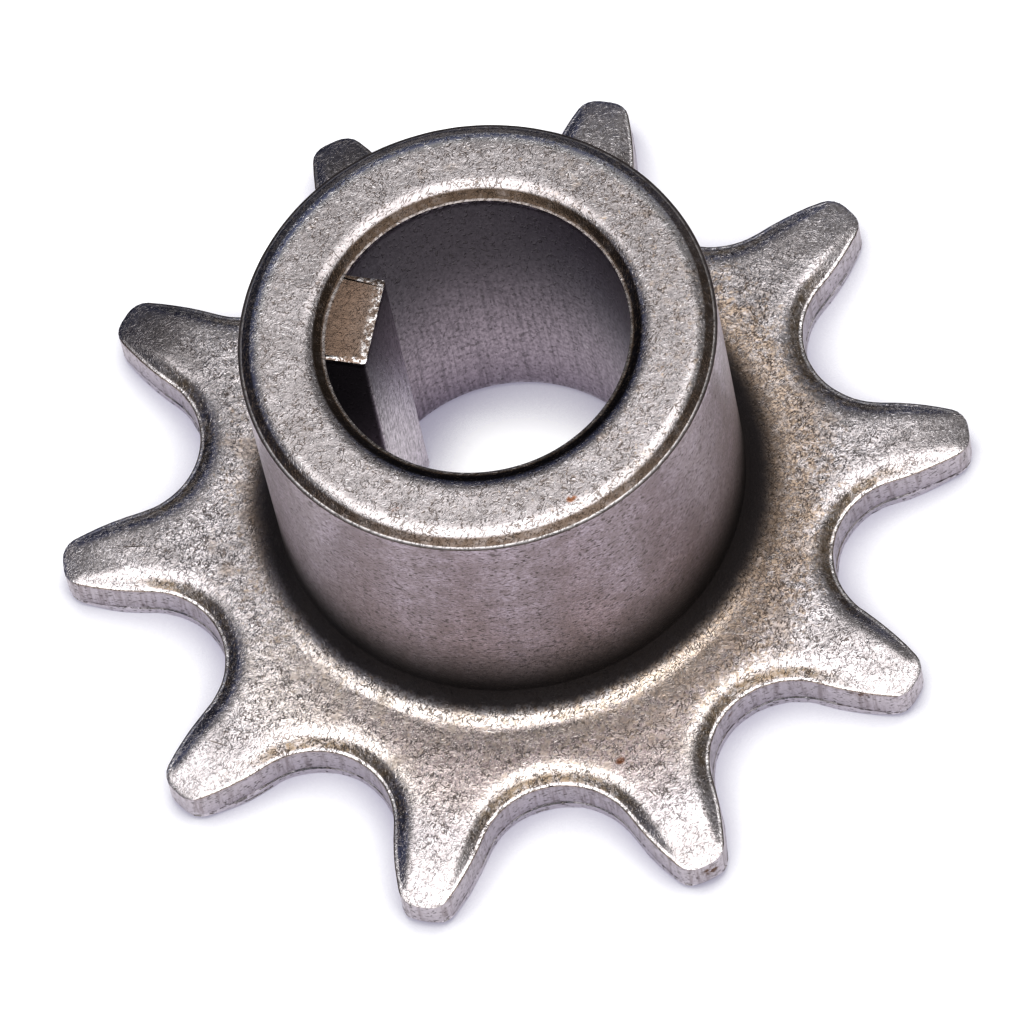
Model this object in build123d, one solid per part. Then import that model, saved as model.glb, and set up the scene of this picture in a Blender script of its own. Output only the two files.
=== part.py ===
from build123d import *

import os
from math import atan2, cos, degrees, hypot, pi, radians, sin, sqrt, tan

# Ten-tooth sprocket for half-inch chain, pressed and sintered in one piece: a thin toothed
# plate, a tall plain hub on one side of it, and a through bore with a solid key in its wall.
# The origin is on the bore's axis at the flat bottom face, with +Z up the hub. The key is on
# the -X side, in line with the middle of a tooth gap.

# Chain and teeth
TOOTH_COUNT = 10
CHAIN_PITCH = 12.7
SEAT_RADIUS = 4.12  # the hollow that a 7.75 mm roller sits in
SEAT_HALF_ANGLE = 62.8  # how far the seat reaches round each side of the hollow
FLANK_RADIUS = 16.0  # the teeth's sides swell slightly
TIP_CORNER_RADIUS = 1.1
TIP_RADIUS = 23.05

# Toothed plate
PLATE_THICKNESS = 2.8
TOOTH_SIDE_RADIUS = 12.7  # both faces curve in to the tips, so that the chain drops on

# Hub and bore
HUB_RADIUS = 11.85
TOTAL_HEIGHT = 20.0
BORE_RADIUS = 7.55
HUB_FOOT_WIDTH = 1.4  # the hollow curve where the hub meets the plate
HUB_FOOT_HEIGHT = 1.5

# Key
KEY_WIDTH = 4.76
KEY_PROJECTION = 2.42  # how far it stands in from the bore's wall
KEY_CORNER_RADIUS = 0.2

# Pressed edges: a narrow flat land along the wall and a bevel inside it, given as the land's
# width and the depth. The plate has one along its top edge only, the hub round its top, and
# the bore at both ends. On the plate and the hub's outside a soft shoulder turns the bevel
# into the face.
BEVEL_ANGLE = 30.0
PLATE_EDGE = (0.2, 0.47)
RING_EDGE = (0.15, 0.45)
PLATE_SHOULDER_RADIUS = 2.0
HUB_SHOULDER_RADIUS = 1.1
SHOULDER_END_ANGLE = 5.0  # the shoulder meets the face at this slight angle

MARGIN = 1.0  # how far a cutting shape runs past what it cuts

GAP_ANGLE = 360.0 / TOOTH_COUNT
PITCH_RADIUS = CHAIN_PITCH / (2 * sin(pi / TOOTH_COUNT))
HIGH_LAND = PLATE_THICKNESS - PLATE_EDGE[1]
BORE_BOTTOM = RING_EDGE[1]
BORE_TOP = TOTAL_HEIGHT - RING_EDGE[1]


def polar(radius, angle):
    """The point of the XY plane at this radius and angle in degrees."""
    return Vector(radius * cos(radians(angle)), radius * sin(radians(angle)))


def angle_of(point):
    """The direction of a point from the origin in degrees."""
    return degrees(atan2(point.Y, point.X))


def arc(centre, radius, start, end):
    """The arc about a centre from one angle to another."""
    angles = (start, (start + end) / 2, end)
    return ThreePointArc(*[centre + polar(radius, angle) for angle in angles])


def circles_meet(centre, radius, origin_radius):
    """Where a circle meets another about the origin, on the clockwise side of its centre."""
    distance = hypot(centre.X, centre.Y)
    along = (origin_radius**2 - radius**2 + distance**2) / (2 * distance)
    across = sqrt(origin_radius**2 - along**2)
    return polar(origin_radius, angle_of(centre) - degrees(atan2(across, along)))


# The gap whose middle line is the X axis. The roller seat is hollow. The flank on its +Y side
# bulges out of the tooth, so the flank's centre is on the far side of that tooth.
SEAT_CENTRE = Vector(PITCH_RADIUS, 0)
SEAT_END = 180.0 - SEAT_HALF_ANGLE
FLANK_CENTRE = SEAT_CENTRE + polar(SEAT_RADIUS + FLANK_RADIUS, SEAT_END)
FLANK_START = SEAT_END - 180.0
CORNER_CENTRE = circles_meet(
    FLANK_CENTRE, FLANK_RADIUS - TIP_CORNER_RADIUS, TIP_RADIUS - TIP_CORNER_RADIUS
)
FLANK_END = angle_of(CORNER_CENTRE - FLANK_CENTRE)
TIP_START = angle_of(CORNER_CENTRE)


def seat_arc():
    """The roller seat of the gap on the X axis."""
    return arc(SEAT_CENTRE, SEAT_RADIUS, 180 - SEAT_HALF_ANGLE, 180 + SEAT_HALF_ANGLE)


def flank_arc(end):
    """The flank on the seat's +Y side, as far as this angle about its centre."""
    return arc(FLANK_CENTRE, FLANK_RADIUS, FLANK_START, end)


def toothed_prism():
    """A tall prism of the sprocket's outline."""
    corner = arc(CORNER_CENTRE, TIP_CORNER_RADIUS, FLANK_END, TIP_START)
    tip = arc(Vector(0, 0), TIP_RADIUS, TIP_START, GAP_ANGLE - TIP_START)
    side = [flank_arc(FLANK_END), corner]
    other_side = [edge.mirror(Plane.XZ) for edge in side]
    one_gap = side + other_side + [seat_arc(), tip]
    turns = [index * GAP_ANGLE for index in range(TOOTH_COUNT)]
    outline = Wire([edge.rotate(Axis.Z, turn) for turn in turns for edge in one_gap])
    return extrude(Face(outline), TOTAL_HEIGHT)


def bevel_points(land, depth):
    """A pressed edge with no shoulder, from the wall to the face, as (distance in, rise)."""
    return [(0, 0), (land, 0), (land + depth / tan(radians(BEVEL_ANGLE)), depth)]


def shoulder_points(land, depth, shoulder_radius):
    """A pressed edge with a shoulder, from the wall to the face, as (distance in, rise).

    The last three points are the shoulder's arc, which starts on the bevel and stops just
    short of level.
    """
    angles = (BEVEL_ANGLE, (BEVEL_ANGLE + SHOULDER_END_ANGLE) / 2, SHOULDER_END_ANGLE)
    centre_rise = depth - shoulder_radius * cos(radians(SHOULDER_END_ANGLE))
    bevel_rise = centre_rise + shoulder_radius * cos(radians(BEVEL_ANGLE))
    bevel_run = bevel_rise / tan(radians(BEVEL_ANGLE))
    centre_in = land + bevel_run + shoulder_radius * sin(radians(BEVEL_ANGLE))
    shoulder = [
        (
            centre_in - shoulder_radius * sin(radians(angle)),
            centre_rise + shoulder_radius * cos(radians(angle)),
        )
        for angle in angles
    ]
    return [(0, 0), (land, 0)] + shoulder


def shoulder_lines(points):
    """The curve through a shouldered edge's points: two straight lines and the arc."""
    return [Polyline(*points[:3]), ThreePointArc(*points[2:])]


def turned_blank():
    """The hub and an untoothed plate, turned about the Z axis."""
    bevel = bevel_points(*RING_EDGE)
    bore_top = [(BORE_RADIUS + inward, BORE_TOP + rise) for inward, rise in bevel]
    bore_bottom = [(BORE_RADIUS + inward, BORE_BOTTOM - rise) for inward, rise in bevel]
    shoulder = shoulder_points(*RING_EDGE, HUB_SHOULDER_RADIUS)
    hub_top = [(HUB_RADIUS - inward, BORE_TOP + rise) for inward, rise in shoulder]

    side_run = sqrt(TOOTH_SIDE_RADIUS**2 - (TOOTH_SIDE_RADIUS - PLATE_EDGE[1]) ** 2)
    side_start = TIP_RADIUS - side_run
    side_end = TIP_RADIUS + MARGIN
    side_drop = TOOTH_SIDE_RADIUS - sqrt(TOOTH_SIDE_RADIUS**2 - (side_end - side_start) ** 2)
    foot_top = PLATE_THICKNESS + HUB_FOOT_HEIGHT
    foot_end = HUB_RADIUS + HUB_FOOT_WIDTH
    high_side = ((side_start, PLATE_THICKNESS), (side_end, PLATE_THICKNESS - side_drop))
    low_side = ((side_end, side_drop), (side_start, 0))

    outline = [Polyline(*bore_top), Polyline(*bore_bottom), *shoulder_lines(hub_top)]
    outline += [
        Line(bore_bottom[0], bore_top[0]),
        Line(bore_top[-1], hub_top[-1]),
        Line(hub_top[0], (HUB_RADIUS, foot_top)),
        EllipticalCenterArc(
            (foot_end, foot_top), HUB_FOOT_WIDTH, HUB_FOOT_HEIGHT, 180, arc_size=90
        ),
        Line((foot_end, PLATE_THICKNESS), high_side[0]),
        RadiusArc(*high_side, TOOTH_SIDE_RADIUS),
        Line(high_side[1], low_side[0]),
        RadiusArc(*low_side, TOOTH_SIDE_RADIUS),
        Line(low_side[1], bore_bottom[-1]),
    ]
    section = Plane.XZ * make_face(outline)
    return revolve(section, Axis.Z)


def gap_cutters():
    """What the press leaves out along the top edge of each gap.

    A section of the land, bevel and shoulder is swept along one gap's flank, seat and other
    flank, running on past the tooth tips, and then repeated.
    """
    run_on = degrees((TIP_CORNER_RADIUS + 2 * MARGIN) / FLANK_RADIUS)
    flank = flank_arc(FLANK_END + run_on)
    path = Wire([flank, seat_arc(), flank.mirror(Plane.XZ)])

    points = shoulder_points(*PLATE_EDGE, PLATE_SHOULDER_RADIUS)
    clear = PLATE_EDGE[1] + MARGIN
    closing = Polyline(points[-1], (points[-1][0], clear), (-MARGIN, clear), (-MARGIN, 0), points[0])
    ahead = path % 0
    start = Plane(path @ 0, x_dir=(-ahead.Y, ahead.X, 0), z_dir=ahead)
    section = start * make_face(shoulder_lines(points) + [closing])

    cutter = sweep(section, path).moved(Location((0, 0, HIGH_LAND)))
    return [cutter.rotate(Axis.Z, index * GAP_ANGLE) for index in range(TOOTH_COUNT)]


def key():
    """The solid key, let a little way into the bore's wall and level with the rings' lands."""
    into_wall = RING_EDGE[0] / 2
    depth = KEY_PROJECTION + into_wall
    middle = KEY_PROJECTION - BORE_RADIUS - depth / 2
    block = Pos(middle, 0, (BORE_BOTTOM + BORE_TOP) / 2) * Box(depth, KEY_WIDTH, BORE_TOP - BORE_BOTTOM)
    corners = block.edges().filter_by(Axis.Z).group_by(Axis.X)[-1]
    return fillet(corners, KEY_CORNER_RADIUS)


def sprocket():
    """The whole sprocket as one solid."""
    toothed = turned_blank() & toothed_prism()
    return toothed - gap_cutters() + key()


os.makedirs("parts", exist_ok=True)
export_step(sprocket(), "parts/sprocket.step")
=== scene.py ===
from math import asin, atan2, cos, degrees, hypot, pi, radians, sin, sqrt, tan

import bmesh
import bpy
import numpy as np
from mathutils import Matrix, Vector, noise


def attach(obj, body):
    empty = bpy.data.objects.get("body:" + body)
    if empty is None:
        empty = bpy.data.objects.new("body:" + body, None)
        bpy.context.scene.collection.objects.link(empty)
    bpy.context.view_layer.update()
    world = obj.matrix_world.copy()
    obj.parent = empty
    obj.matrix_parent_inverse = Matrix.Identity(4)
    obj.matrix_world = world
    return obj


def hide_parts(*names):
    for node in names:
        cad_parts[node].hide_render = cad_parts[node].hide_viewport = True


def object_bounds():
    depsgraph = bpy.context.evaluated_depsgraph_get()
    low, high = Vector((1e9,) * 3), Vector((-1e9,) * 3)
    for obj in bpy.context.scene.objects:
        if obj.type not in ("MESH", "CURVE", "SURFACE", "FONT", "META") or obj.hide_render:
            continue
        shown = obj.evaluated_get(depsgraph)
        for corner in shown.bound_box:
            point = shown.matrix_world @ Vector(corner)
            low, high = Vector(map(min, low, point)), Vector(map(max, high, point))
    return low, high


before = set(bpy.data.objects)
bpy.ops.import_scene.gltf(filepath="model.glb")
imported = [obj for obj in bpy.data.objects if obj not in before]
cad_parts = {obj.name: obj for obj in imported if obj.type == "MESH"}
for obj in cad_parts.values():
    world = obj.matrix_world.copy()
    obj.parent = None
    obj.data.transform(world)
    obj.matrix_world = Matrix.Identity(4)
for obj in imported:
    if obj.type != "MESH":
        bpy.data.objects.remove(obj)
cadLow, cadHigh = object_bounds()
mm = 0.001

# Sizes are in mm and degrees, and the bore's axis is Z, as on the solid.

sprocketSizes = {
    "teeth": 10,
    "pitch": 12.7,
    "seatRadius": 4.12,  # the hollow between two teeth, which a chain roller sits in
    "seatHalfAngle": 62.8,
    "flankRadius": 16.0,
    "cornerRadius": 1.1,
    "tipRadius": cadHigh.y / mm,
    "toothSideRadius": 12.7,  # both faces curve in to the tips
    "sag": 0.15,  # the top also falls slightly over this range of radius, as pressed teeth do
    "sagRange": (15.0, 21.5),
    "faceBlend": 0.12,  # how softly the falling top meets the pressed edge, and the land
    "landBlend": 0.05,
    "plateThickness": 2.8,
    "hubRadius": 11.85,
    "hubHeight": cadHigh.z / mm,
    "boreRadius": 7.55,
    "footWidth": 1.4,
    "footHeight": 1.5,
    "bevelAngle": 30.0,
    "plateEdge": (0.2, 0.47, 2.0),  # land, drop and shoulder radius
    "ringEdge": (0.2, 0.38, 1.1),
    "keyWidth": 4.76,
    "keyProjection": 2.42,
    "keyCorner": 0.2,
    "sharpAngle": 20,  # edges sharper than this are rounded by softEdge
    "softEdge": 0.03,
    "smoothAngle": 24,
    "wornAngle": 12,  # edges sharper than this are marked as worn
    "pressedRise": 0.4,  # faces whose normals rise more than this were pressed
}

# how finely each part is divided
steps = {
    "seat": 26,
    "flank": 5,
    "corner": 4,
    "tip": 4,
    "shoulder": 5,
    "foot": 8,
    "hub": 34,
    "hubTop": 8,
    "bore": 36,
    "plate": 18,
    "keyCorner": 4,
    "softEdge": 2,
    "wallLevels": (2.2, 1.7, 1.2, 0.8, 0.62, 0.52, 0.44, 0.3, 0.18, 0.1, 0.0),
    "edgeRows": (0.2, 0.175, 0.175, 0.15, 0.15, 0.15),
    "undersideRows": (0.3, 0.3),
}


def polar(radius, angle):
    return Vector((radius * cos(radians(angle)), radius * sin(radians(angle)), 0.0))


def angleOf(point):
    return degrees(atan2(point.y, point.x))


def pressedEdge(land, drop, shoulderRadius):
    # from the wall to the face, as distance in and rise: a flat land, a bevel and a soft shoulder
    bevel = radians(sprocketSizes["bevelAngle"])
    bevelRise = drop - shoulderRadius * (1 - cos(bevel))
    bevelRun = bevelRise / tan(bevel)
    centreIn = land + bevelRun + shoulderRadius * sin(bevel)
    points = [(land, 0.0), (land + bevelRun / 2, bevelRise / 2)]
    for step in range(steps["shoulder"] + 1):
        slope = bevel * (1 - step / steps["shoulder"])
        points.append((centreIn - shoulderRadius * sin(slope), drop - shoulderRadius * (1 - cos(slope))))
    return points


def choose(shape, kind, wanted):
    # selects the edges or faces that are wanted and nothing else
    bpy.ops.mesh.select_all(action="DESELECT")
    mesh = bmesh.from_edit_mesh(shape.data)
    for item in getattr(mesh, kind):
        if wanted(item):
            item.select_set(True)
    bmesh.update_edit_mesh(shape.data)


def bothEnds(wanted):
    # asks about the places of both ends of an edge, in mm
    return lambda edge: wanted(edge.verts[0].co / mm) and wanted(edge.verts[1].co / mm)


def spinOn(turn, centre, count):
    # draws an arc on from the chosen point. Spin counts clockwise turns as positive.
    bpy.ops.mesh.spin(steps=count, angle=-radians(turn), center=centre * mm, axis=(0, 0, 1))


def mirrored(centre, middle):
    return polar(hypot(centre.x, centre.y), 2 * middle - angleOf(centre))


def drawTeeth(size):
    # the outline of all the teeth, level with the land along the plate's top edge
    gap = 360 / size["teeth"]
    seatCentre = Vector((size["pitch"] / (2 * sin(pi / size["teeth"])), 0, 0))
    seatEnd = 180 - size["seatHalfAngle"]
    flankCentre = seatCentre + polar(size["seatRadius"] + size["flankRadius"], seatEnd)
    cornerReach = size["flankRadius"] - size["cornerRadius"]
    cornerOrbit = size["tipRadius"] - size["cornerRadius"]
    away = flankCentre.length
    along = (cornerOrbit**2 - cornerReach**2 + away**2) / (2 * away)
    across = sqrt(cornerOrbit**2 - along**2)
    cornerCentre = polar(cornerOrbit, angleOf(flankCentre) - degrees(atan2(across, along)))
    flankTurn = angleOf(cornerCentre - flankCentre) - (seatEnd - 180)
    cornerTurn = angleOf(cornerCentre) - angleOf(cornerCentre - flankCentre)
    tipTurn = gap - 2 * angleOf(cornerCentre)
    size["seatCentre"] = seatCentre
    size["flankCentre"] = flankCentre

    land = size["plateThickness"] - size["plateEdge"][1]
    start = seatCentre + polar(size["seatRadius"], -seatEnd) + Vector((0, 0, land))
    bpy.ops.object.select_all(action="DESELECT")
    bpy.ops.mesh.primitive_circle_add(vertices=3, radius=0.1 * mm, location=(0, 0, 0))
    shape = bpy.context.object
    bpy.ops.object.mode_set(mode="EDIT")
    bpy.ops.mesh.select_mode(type="VERT")
    bpy.ops.mesh.select_all(action="SELECT")
    bpy.ops.mesh.merge(type="CENTER")
    bpy.ops.transform.translate(value=start * mm)
    spinOn(-2 * size["seatHalfAngle"], seatCentre, steps["seat"])
    spinOn(flankTurn, flankCentre, steps["flank"])
    spinOn(cornerTurn, cornerCentre, steps["corner"])
    spinOn(tipTurn, Vector((0, 0, 0)), steps["tip"])
    spinOn(cornerTurn, mirrored(cornerCentre, gap / 2), steps["corner"])
    spinOn(flankTurn, mirrored(flankCentre, gap / 2), steps["flank"])
    bpy.ops.mesh.select_all(action="SELECT")
    bpy.ops.mesh.spin(steps=size["teeth"], angle=2 * pi, center=(0, 0, 0), axis=(0, 0, 1), dupli=True)
    bpy.ops.mesh.select_all(action="SELECT")
    bpy.ops.mesh.remove_doubles(threshold=0.01 * mm)
    return shape


def insetRows(widths):
    # closes the chosen loop, draws rows inside it and opens it again
    bpy.ops.mesh.edge_face_add()
    bpy.ops.mesh.select_mode(type="FACE")
    for width in widths:
        bpy.ops.mesh.inset(thickness=width * mm, depth=0, use_even_offset=True)
    bpy.ops.mesh.delete(type="ONLY_FACE")
    bpy.ops.mesh.select_mode(type="EDGE")


def pullRows(start, points):
    # draws the chosen ring on through these places, each a radius and a height
    radius, height = start
    for toRadius, toHeight in points:
        bpy.ops.mesh.extrude_edges_move(TRANSFORM_OT_translate={"value": (0, 0, (toHeight - height) * mm)})
        scale = toRadius / radius
        bpy.ops.transform.resize(value=(scale, scale, 1), center_override=(0, 0, 0))
        radius, height = toRadius, toHeight


def between(first, last, count):
    # count even steps from the first place, which is left out, to the last
    shares = [step / count for step in range(1, count + 1)]
    return [tuple(a + (b - a) * share for a, b in zip(first, last)) for share in shares]


def readPlaces(shape):
    mesh = bmesh.from_edit_mesh(shape.data)
    return np.array([vert.co for vert in mesh.verts]) / mm


def movePlaces(shape, places):
    mesh = bmesh.from_edit_mesh(shape.data)
    for vert, place in zip(mesh.verts, places):
        vert.co = Vector(place) * mm
    bmesh.update_edit_mesh(shape.data)


def depthInTooth(size, places):
    # how far each place is inside the nearest gap's seat or flank, the flanks running on past the tips
    gap = 2 * pi / size["teeth"]
    angle = np.arctan2(places[:, 1], places[:, 0])
    angle -= gap * np.round(angle / gap)
    radius = np.hypot(places[:, 0], places[:, 1])
    x, y = radius * np.cos(angle), radius * np.sin(np.abs(angle))
    fromSeatX, fromSeatY = x - size["seatCentre"].x, y - size["seatCentre"].y
    seatDepth = np.hypot(fromSeatX, fromSeatY) - size["seatRadius"]
    flankReach = np.hypot(x - size["flankCentre"].x, y - size["flankCentre"].y)
    onSeat = np.degrees(np.arctan2(fromSeatY, fromSeatX)) >= 180 - size["seatHalfAngle"]
    return np.where(onSeat, seatDepth, size["flankRadius"] - flankReach)


def pressedRise(depth, land, drop, shoulderRadius):
    # the pressed edge's height over its land, at this depth inside the wall
    bevel = radians(sprocketSizes["bevelAngle"])
    centreIn = land + (drop - shoulderRadius * (1 - cos(bevel))) / tan(bevel) + shoulderRadius * sin(bevel)
    back = np.clip(centreIn - depth, 0, shoulderRadius * sin(bevel))
    shoulder = drop - shoulderRadius + np.sqrt(shoulderRadius**2 - back**2)
    return np.where(depth < land, 0, np.minimum((depth - land) * tan(bevel), shoulder))


def tipDrop(size, radius):
    # how far each face falls away towards the tooth tips
    bend = size["toothSideRadius"]
    run = sqrt(bend**2 - (bend - size["plateEdge"][1]) ** 2)
    past = np.clip(radius - (size["tipRadius"] - run), 0, run)
    return bend - np.sqrt(bend**2 - past**2)


def softLower(first, second, blend):
    # the lower of two heights, rounded where they cross
    mix = np.clip(0.5 + 0.5 * (second - first) / blend, 0, 1)
    return second * (1 - mix) + first * mix - blend * mix * (1 - mix)


def pressPlate(shape, size):
    # lifts the flat rows into the pressed edge, and lets both faces fall away towards the tips
    places = readPlaces(shape)
    radius = np.hypot(places[:, 0], places[:, 1])
    land = size["plateThickness"] - size["plateEdge"][1]
    footEnd = size["hubRadius"] + size["footWidth"]
    inPlate = (radius > footEnd - 0.01) & (places[:, 2] < size["plateThickness"] + 0.01)
    onTop = inPlate & (places[:, 2] > land - 0.001)
    low = tipDrop(size, radius)
    pressed = land + pressedRise(depthInTooth(size, places), *size["plateEdge"])
    sagStart, sagEnd = size["sagRange"]
    sagShare = np.clip((radius - sagStart) / (sagEnd - sagStart), 0, 1)
    tipped = size["plateThickness"] - low - size["sag"] * sagShare**2 * (3 - 2 * sagShare)
    risen = softLower(pressed, tipped, size["faceBlend"])
    wallTop = softLower(land, tipped, size["landBlend"])
    share = places[:, 2] / land
    places[inPlate & ~onTop, 2] = (low + (wallTop - low) * share)[inPlate & ~onTop]
    places[onTop, 2] = risen[onTop]
    movePlaces(shape, places)


def raiseKey(shape, size):
    # draws the key in from the bore's wall on the -X side
    half, bore = size["keyWidth"] / 2, size["boreRadius"]
    places = readPlaces(shape)
    radius = np.hypot(places[:, 0], places[:, 1])
    sides = np.abs(np.degrees(np.arctan2(places[:, 1], -places[:, 0])))
    column = 360 / size["columns"]
    corner = degrees(asin(half / bore))
    nearest = round(corner / column) * column
    moved = (abs(radius - bore) < 0.01) & (abs(sides - nearest) < 0.01)
    places[moved, 0] = -bore * cos(radians(corner))
    places[moved, 1] = np.sign(places[moved, 1]) * half
    movePlaces(shape, places)

    ringLow = size["ringEdge"][1]

    def behindKey(face):
        place = face.calc_center_median() / mm
        onWall = abs(hypot(place.x, place.y) - bore) < 0.05
        inReach = ringLow < place.z < size["hubHeight"] - ringLow
        return onWall and inReach and place.x < 0 and abs(place.y) < half

    bpy.ops.mesh.select_mode(type="FACE")
    choose(shape, "faces", behindKey)
    front = size["keyProjection"] - bore
    bpy.ops.mesh.extrude_region_move(TRANSFORM_OT_translate={"value": (1 * mm, 0, 0)})
    bpy.ops.transform.resize(value=(0, 1, 1), center_override=(front * mm, 0, 0))
    bpy.ops.mesh.select_mode(type="EDGE")
    choose(shape, "edges", bothEnds(lambda p: abs(p.x - front) < 0.001 and abs(abs(p.y) - half) < 0.001))
    bpy.ops.mesh.bevel(offset=size["keyCorner"] * mm, segments=steps["keyCorner"])


def modelSprocket(size):
    top, land = size["plateThickness"], size["plateThickness"] - size["plateEdge"][1]
    hub, bore, high = size["hubRadius"], size["boreRadius"], size["hubHeight"]
    footEnd = hub + size["footWidth"]
    ring = pressedEdge(*size["ringEdge"])
    ringLow = size["ringEdge"][1]

    shape = drawTeeth(size)
    shape.name = "sprocket_finished"
    bpy.ops.mesh.select_mode(type="EDGE")
    bpy.ops.mesh.select_all(action="SELECT")
    size["columns"] = len(bmesh.from_edit_mesh(shape.data).verts)

    # the plate's wall, straight down from the outline, and the start of its underside
    height = land
    for level in steps["wallLevels"]:
        bpy.ops.mesh.extrude_edges_move(TRANSFORM_OT_translate={"value": (0, 0, (level - height) * mm)})
        height = level
    insetRows(steps["undersideRows"])

    # the pressed edge along the plate's top, as flat rows for now
    choose(shape, "edges", bothEnds(lambda p: p.z > land - 0.01))
    insetRows(steps["edgeRows"])

    # the hub and the bore, from the end of the hub's foot round to the bottom
    bpy.ops.mesh.primitive_circle_add(vertices=size["columns"], radius=footEnd * mm)
    bpy.ops.transform.translate(value=(0, 0, top * mm))
    quarter = [radians(90 * step / steps["foot"]) for step in range(1, steps["foot"] + 1)]
    foot = [
        (footEnd - size["footWidth"] * sin(turn), top + size["footHeight"] * (1 - cos(turn)))
        for turn in quarter
    ]
    outerEdge = [(hub - inward, high - ringLow + rise) for inward, rise in ring]
    innerEdge = [(bore + inward, high - ringLow + rise) for inward, rise in reversed(ring)]
    lowerEdge = [(bore + inward, ringLow - rise) for inward, rise in ring]
    boreTop, boreFoot = (bore, high - ringLow), (bore, ringLow)
    rows = foot + between(foot[-1], (hub, high - ringLow), steps["hub"]) + outerEdge
    rows += between(outerEdge[-1], innerEdge[0], steps["hubTop"]) + innerEdge[1:]
    rows += [boreTop] + between(boreTop, boreFoot, steps["bore"]) + lowerEdge
    pullRows((footEnd, top), rows)

    # the plate's two faces, between those rings and the teeth
    joinOpen(shape, lambda p: p.z > land / 2, steps["plate"])
    joinOpen(shape, lambda p: p.z < land / 2, steps["plate"])
    pressPlate(shape, size)
    raiseKey(shape, size)
    bpy.ops.mesh.select_all(action="SELECT")
    bpy.ops.mesh.normals_make_consistent(inside=False)
    return shape


def joinOpen(shape, wanted, cuts):
    # bridges the two open loops in this range
    choose(shape, "edges", lambda edge: edge.is_boundary and wanted(edge.verts[0].co / mm))
    bpy.ops.mesh.bridge_edge_loops(number_cuts=cuts, interpolation="LINEAR")


partingSizes = {
    "line": 0.5,  # height of the line that the lower punch leaves round the teeth
    "lineReach": 0.05,
    "lineWander": 0.05,  # how far the line strays up and down
    "groove": 0.03,
    "step": 0.05,  # how far the wall stands out below the line
    "lip": 0.06,  # the flash along the bottom edge, at its most
    "lipReach": 0.15,
    "topReach": 0.05,
    "wander": 0.025,  # how unevenly the wall's top edge runs
    "droop": 0.025,  # how far the lands' outer edges are turned down
    "waviness": 0.006,
}

# how each kind of unevenness runs: the size of its patches in mm, and where its noise starts
unevenness = {
    "face": (2.2, 1),
    "patch": (1.6, 2),
    "fine": (0.45, 3),
    "line": (1.1, 4),
    "edgeRise": (1.3, 5),
    "edgeOut": (0.6, 6),
    "hubEdge": (0.8, 7),
}


def uneven(place, kind):
    # smooth chance between -1 and 1
    size, start = unevenness[kind]
    return noise.noise(Vector(place) / size + Vector((start * 7.3, start * 3.1, start * 5.7)))


def wearTooth(place, out, land, parting):
    # how a place on the teeth's wall moves, in mm: the parting line, the flash and the ragged top edge
    patch = 0.5 + 0.5 * uneven(place, "patch")
    fine = uneven(place, "fine")
    move = Vector((0, 0, 0))
    if abs(place.z - parting["line"]) < parting["lineReach"]:
        move -= out * parting["groove"] * (0.4 + patch)
        move.z += parting["lineWander"] * uneven(place, "line")
    elif place.z < parting["line"]:
        move += out * parting["step"] * patch
    if place.z < parting["lipReach"]:
        move += out * parting["lip"] * max(0.0, patch + 0.5 * fine - 0.2)
    if place.z > land - parting["topReach"]:
        move.z -= parting["droop"] * (0.6 + 0.8 * patch)
        move.z += parting["wander"] * (fine + 0.7 * uneven(place, "edgeRise"))
        move += out * 0.6 * parting["wander"] * uneven(place, "edgeOut")
    return move


def wearShape(shape, size, parting):
    # worn teeth, a turned-down land round the hub's top and slightly uneven faces
    mesh = bmesh.from_edit_mesh(shape.data)
    mesh.normal_update()
    wall = size["hubRadius"] + size["footWidth"] + 0.2
    land = size["plateThickness"] - size["plateEdge"][1]
    hubLand = size["hubHeight"] - size["ringEdge"][1]
    moves = []
    for vert in mesh.verts:
        place, normal = vert.co / mm, vert.normal.copy()
        radius = hypot(place.x, place.y)
        move = normal * uneven(place, "face") * parting["waviness"]
        if radius > wall and hypot(normal.x, normal.y) > 0.5 and place.z < land + 0.02:
            move += wearTooth(place, Vector((normal.x, normal.y, 0)).normalized(), land, parting)
        elif abs(radius - size["hubRadius"]) < 0.01 and place.z > hubLand - 0.01:
            move.z -= parting["droop"] * (1.6 + uneven(place, "hubEdge"))
        moves.append(move)
    for vert, move in zip(mesh.verts, moves):
        vert.co += move * mm
    bmesh.update_edit_mesh(shape.data)


def softenEdges(shape, size):
    choose(shape, "edges", lambda edge: edge.calc_face_angle(0) > radians(size["sharpAngle"]))
    bpy.ops.mesh.bevel(offset=size["softEdge"] * mm, segments=steps["softEdge"])


def markSurface(shape, size):
    # edgeDepth is how far the plate's places are inside the nearest gap's wall, in mm, and edgeWear is 1
    # along the edges that stand out
    sharp = bmesh.new()
    sharp.from_mesh(shape.data)
    wearAndHighlight = np.zeros(len(sharp.verts))
    for edge in sharp.edges:
        if len(edge.link_faces) == 2 and edge.calc_face_angle_signed() > radians(size["wornAngle"]):
            for vert in edge.verts:
                wearAndHighlight[vert.index] = 1
    sharp.free()
    places = np.empty(3 * len(shape.data.vertices))
    shape.data.vertices.foreach_get("co", places)
    places = places.reshape(-1, 3) / mm
    far = 9
    depth = np.clip(depthInTooth(size, places), 0, far)
    depth[np.hypot(places[:, 0], places[:, 1]) < size["hubRadius"] + 1] = far
    for name, values in (("edgeDepth", depth), ("edgeWear", wearAndHighlight)):
        mark = shape.data.attributes.new(name, "FLOAT", "POINT")
        mark.data.foreach_set("value", values)


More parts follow.
